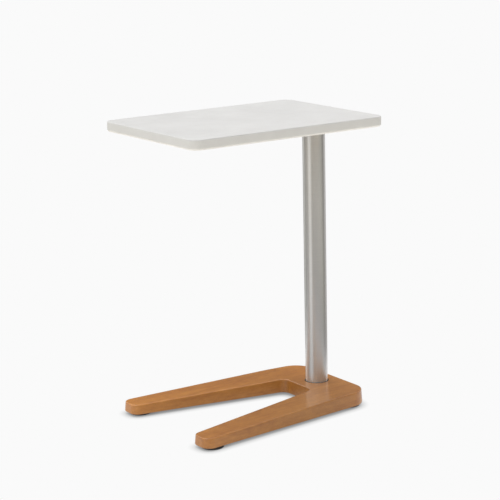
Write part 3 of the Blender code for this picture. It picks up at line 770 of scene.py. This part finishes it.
# --- the levelling glides -------------------------------------------------------------------------
def make_glides():
    steps = 32
    low, high = height_span("front_left_glide_insert")
    outer = plan_size("front_left_glide_insert")[0] / 2
    bore, flange_top = STEM_RADIUS + 0.0004, low + INSERT_FLANGE
    rows = [(bore + EDGE_BREAK, high), (INSERT_BODY_RADIUS - 0.0008, high)]
    rows += thread_rows(
        INSERT_BODY_RADIUS, INSERT_THREAD, high - 0.0005, flange_top + 0.0008, steps, per_turn=8
    )
    rows += [(INSERT_BODY_RADIUS - 0.0004, flange_top)]
    rows += [(outer - EDGE_BREAK, flange_top), (outer, flange_top - EDGE_BREAK)]
    rows += [(outer, low + EDGE_BREAK), (outer - EDGE_BREAK, low)]
    rows += [(bore + 0.0004, low), (bore, low + 0.0004), (bore, high - EDGE_BREAK)]
    insert = mesh_of("wood_insert", turned(rows, steps, closed=True))

    low, high = height_span("front_left_glide_stem")
    rows = [(0, high), (STEM_RADIUS - 0.0008, high)]
    rows += thread_rows(
        STEM_RADIUS, BOLT_THREAD, high - 0.0004, STEM_HEAD_HIGH + 0.0006, steps, per_turn=8
    )
    rows += [(STEM_RADIUS - 0.0004, STEM_HEAD_HIGH)]
    r = STEM_HEAD_RADIUS
    rows += [(r - EDGE_BREAK, STEM_HEAD_HIGH), (r, STEM_HEAD_HIGH - EDGE_BREAK)]
    rows += [(r, low + EDGE_BREAK), (r - EDGE_BREAK, low), (0, low)]
    stem = carved("threaded_stem", turned(rows, steps), [(hexagon(*STEM_SOCKET), [(0, 0, high)])])

    low, high = height_span("front_left_glide_foot")
    radius = plan_size("front_left_glide_foot")[0] / 2
    pad_radius = plan_size("front_left_glide_pad")[0] / 2
    pad_high = height_span("front_left_glide_pad")[1]
    hole = STEM_RADIUS + 0.0006
    recess, recess_roof = pad_radius + CLEARANCE, pad_high + CLEARANCE
    shoulder, r = high - FOOT_STEP, FOOT_ROUND
    # from the hole: a low hub, the shoulder, a fine line round the side, the pad's recess, the socket
    rows = [(hole + EDGE_BREAK, high), (FOOT_HUB_RADIUS - 0.0005, high)]
    rows += [(FOOT_HUB_RADIUS, high - 0.0004), (FOOT_SHOULDER_RADIUS, shoulder)]
    rows += arc((radius - r, shoulder - r), r, 80, 0, 6)
    line, bevel = radius - FOOT_LINE_DEPTH, 0.0001
    rows += [(radius, FOOT_LINE_TOP), (line, FOOT_LINE_TOP - bevel)]
    rows += [(line, FOOT_LINE_LOW + bevel), (radius, FOOT_LINE_LOW)]
    r = FOOT_LOWER_ROUND
    rows += arc((radius - r, low + r), r, 0, -90, 4)
    rows += [(recess, low), (recess, recess_roof), (FOOT_SOCKET_RADIUS, recess_roof)]
    rows += [(FOOT_SOCKET_RADIUS, FOOT_SOCKET_ROOF), (hole, FOOT_SOCKET_ROOF)]
    rows += [(hole, high - EDGE_BREAK)]
    foot = mesh_of("glide_foot", turned(rows, 72, closed=True))

    rows = [(0, pad_high), (pad_radius - 0.0004, pad_high), (pad_radius, pad_high - 0.0004),
            (pad_radius, 0.0006), (pad_radius - 0.0006, 0.0)]
    edge = pad_radius - 0.0020
    while edge > TREAD_PITCH * 2:  # round grooves in the tread
        rows += [(edge, 0.0), (edge - 0.0003, TREAD_DEPTH)]
        rows += [(edge - 0.0009, TREAD_DEPTH), (edge - 0.0012, 0.0)]
        edge -= TREAD_PITCH
    rows += [(0, 0.0)]
    pad = mesh_of("tread_pad", turned(rows, 72))

    kinds = (("insert", "wood_insert", insert, ZINC, "zinc_plated_steel", "table_frame"),
             ("stem", "threaded_stem", stem, ZINC, "zinc_plated_steel", "{}_stem"),
             ("foot", "moulded_foot", foot, NYLON, "black_nylon", "{}_foot"),
             ("pad", "tread_pad", pad, RUBBER, "black_rubber", "{}_foot"))
    for glide in GLIDES:
        centre = middle(f"{glide}_glide_stem")
        for part, name, mesh, finish, slot, body in kinds:
            piece(f"{glide}_{name}", mesh, finish, [f"{glide}_glide_{part}"],
                  body=body.format(glide), place=(centre.x, centre.y, 0))


make_table_top()
make_core_panel()
make_top_plate()
make_top_fasteners()
make_column()
make_seal_ring()
make_wood_base()
make_base_plate()
make_wood_screws()
make_glides()


# --- floor, light, camera -------------------------------------------------------------------------
BACKDROP = 0.956  # radiance of the pale floor and of what lies behind it, as seen
FLOOR_LIGHT = (0.88, 0.86, 0.87)  # radiance that the open floor throws back on the object
FLOOR_SHADE = (0.52, 0.51, 0.52)  # the same, in the soft shadow under the middle of the table
FLOOR_SHADE_EDGE = 0.12, 0.36  # radii between which that shadow gives way to the open floor
FLOOR_RADIUS, FLOOR_GAP = 0.5, 0.0002
CONTACT_REACH, CONTACT_POWER = 0.019, 0.6  # how far the painted contact shadow under the base reaches, and how it fades


def make_floor():
    bm = bmesh.new()
    bmesh.ops.create_circle(bm, cap_ends=True, segments=96, radius=FLOOR_RADIUS)
    mesh = bpy.data.meshes.new("floor")
    bm.to_mesh(mesh)
    bm.free()
    floor = bpy.data.objects.new("floor", mesh)
    floor.location.z = -FLOOR_GAP
    bpy.context.scene.collection.objects.link(floor)
    finish = bpy.data.materials.new("pale_floor")
    finish.use_nodes = True
    tree = finish.node_tree
    tree.nodes.clear()
    # painted contact shadow: the floor's glow is dimmed by occlusion where the base and the glides are
    # near
    shade = node(tree, "AmbientOcclusion", {"Distance": CONTACT_REACH}, samples=48).outputs["AO"]
    shade = math_node(tree, "POWER", shade, CONTACT_POWER)
    seen = node(tree, "LightPath").outputs["Is Camera Ray"]
    spot = node(tree, "TexCoord").outputs["Object"]
    away = node(tree, "VectorMath", {0: spot}, operation="LENGTH").outputs["Value"]
    open_floor = remap(tree, away, 0.0, 1.0, *FLOOR_SHADE_EDGE, smooth=True)
    thrown = blend_colours(tree, open_floor, (*FLOOR_SHADE, 1), (*FLOOR_LIGHT, 1))
    colour = blend_colours(tree, seen, thrown, (BACKDROP, BACKDROP, BACKDROP, 1))
    glow = node(tree, "Emission", {"Color": colour, "Strength": shade})
    clear = node(tree, "BsdfTransparent")
    behind = node(tree, "NewGeometry").outputs["Backfacing"]
    mixed = node(tree, "MixShader", {0: behind, 1: glow.outputs[0], 2: clear.outputs[0]})
    node(tree, "OutputMaterial", {"Surface": mixed.outputs[0]})
    mesh.materials.append(finish)


# Soft lights in the studio: azimuth from +X and elevation in degrees, the cosines at which each
# starts and is full, and its radiance.
SOFT_LIGHTS = (
    (0, 90, 0.20, 0.90, (0.85, 0.84, 0.85)),  # overhead
    (95, 68, 0.85, 0.98, (1.20, 1.20, 1.20)),  # steep, over the +Y edge of the top
    (0, -90, 0.20, 0.90, (2.37, 2.26, 2.04)),  # bounce from below the horizon
    (110, 50, 0.70, 0.97, (0.59, 0.60, 0.59)),  # high, +Y
    (240, 50, 0.70, 0.97, (0.17, 0.17, 0.17)),  # high, -Y and a little -X
    (330, 45, 0.60, 0.95, (0.14, 0.14, 0.14)),  # high, +X and a little -Y
    (100, 6, 0.88, 0.995, (0.96, 0.97, 0.95)),  # low, +Y
    (145, 6, 0.86, 0.995, (0.37, 0.37, 0.37)),  # low, between +Y and -X
    (184, -6, 0.90, 0.995, (0.97, 0.98, 0.97)),  # low, -X
    (212, 20, 0.80, 0.97, (0.18, 0.18, 0.18)),  # low, -X and a little -Y
    (265, 6, 0.10, 0.75, (0.15, 0.15, 0.14)),  # low and broad, -Y
    (5, 6, 0.88, 0.995, (0.75, 0.75, 0.75)),  # low, +X
    (30, 6, 0.88, 0.995, (0.44, 0.43, 0.43)),  # low, +X and a little +Y
)


def make_world():
    world = bpy.data.worlds.new("studio")
    world.use_nodes = True
    tree = world.node_tree
    tree.nodes.clear()
    direction = node(tree, "TexCoord").outputs["Generated"]
    total = (0.0, 0.0, 0.0)
    for azimuth, elevation, start, full, radiance in SOFT_LIGHTS:
        azimuth, elevation = math.radians(azimuth), math.radians(elevation)
        level = math.cos(elevation)
        towards = (level * math.cos(azimuth), level * math.sin(azimuth), math.sin(elevation))
        along = node(tree, "VectorMath", {0: direction, 1: towards}, operation="DOT_PRODUCT")
        lobe = remap(tree, along.outputs["Value"], 0.0, 1.0, start, full, smooth=True)
        light = node(tree, "VectorMath", {0: radiance, "Scale": lobe}, operation="SCALE")
        parts = {0: light.outputs["Vector"], 1: total}
        total = node(tree, "VectorMath", parts, operation="ADD").outputs["Vector"]
    lit = node(tree, "Background", {"Color": total, "Strength": 1.0})
    seen = node(tree, "Background", {"Color": (BACKDROP, BACKDROP, BACKDROP, 1), "Strength": 1.0})
    is_view = node(tree, "LightPath").outputs["Is Camera Ray"]
    mixed = node(tree, "MixShader", {0: is_view, 1: lit.outputs[0], 2: seen.outputs[0]})
    node(tree, "OutputWorld", {"Surface": mixed.outputs[0]})
    bpy.context.scene.world = world


CAMERA_PLACE = (-2.1005, -3.0625, 1.2230)
CAMERA_YAW, CAMERA_PITCH, CAMERA_ROLL = 34.554, 12.889, -1.214  # from +Y towards +X, down, clockwise
LENS = 124.14


def make_camera():
    yaw, pitch, roll = (math.radians(a) for a in (CAMERA_YAW, CAMERA_PITCH, CAMERA_ROLL))
    ahead = Vector((math.sin(yaw), math.cos(yaw), 0))
    forward = ahead * math.cos(pitch) - Vector((0, 0, math.sin(pitch)))
    level = Vector((math.cos(yaw), -math.sin(yaw), 0))
    upright = level.cross(forward)
    right = math.cos(roll) * level + math.sin(roll) * upright
    up = math.cos(roll) * upright - math.sin(roll) * level
    data = bpy.data.cameras.new("camera")
    data.sensor_width, data.lens = 36.0, LENS
    data.clip_start, data.clip_end = 0.05, 50.0
    camera = bpy.data.objects.new("camera", data)
    bpy.context.scene.collection.objects.link(camera)
    turn = Matrix((right, up, -forward)).transposed().to_4x4()
    camera.matrix_world = Matrix.Translation(CAMERA_PLACE) @ turn
    bpy.context.scene.camera = camera


make_floor()
make_world()
make_camera()
bpy.context.scene.view_settings.view_transform = "Standard"
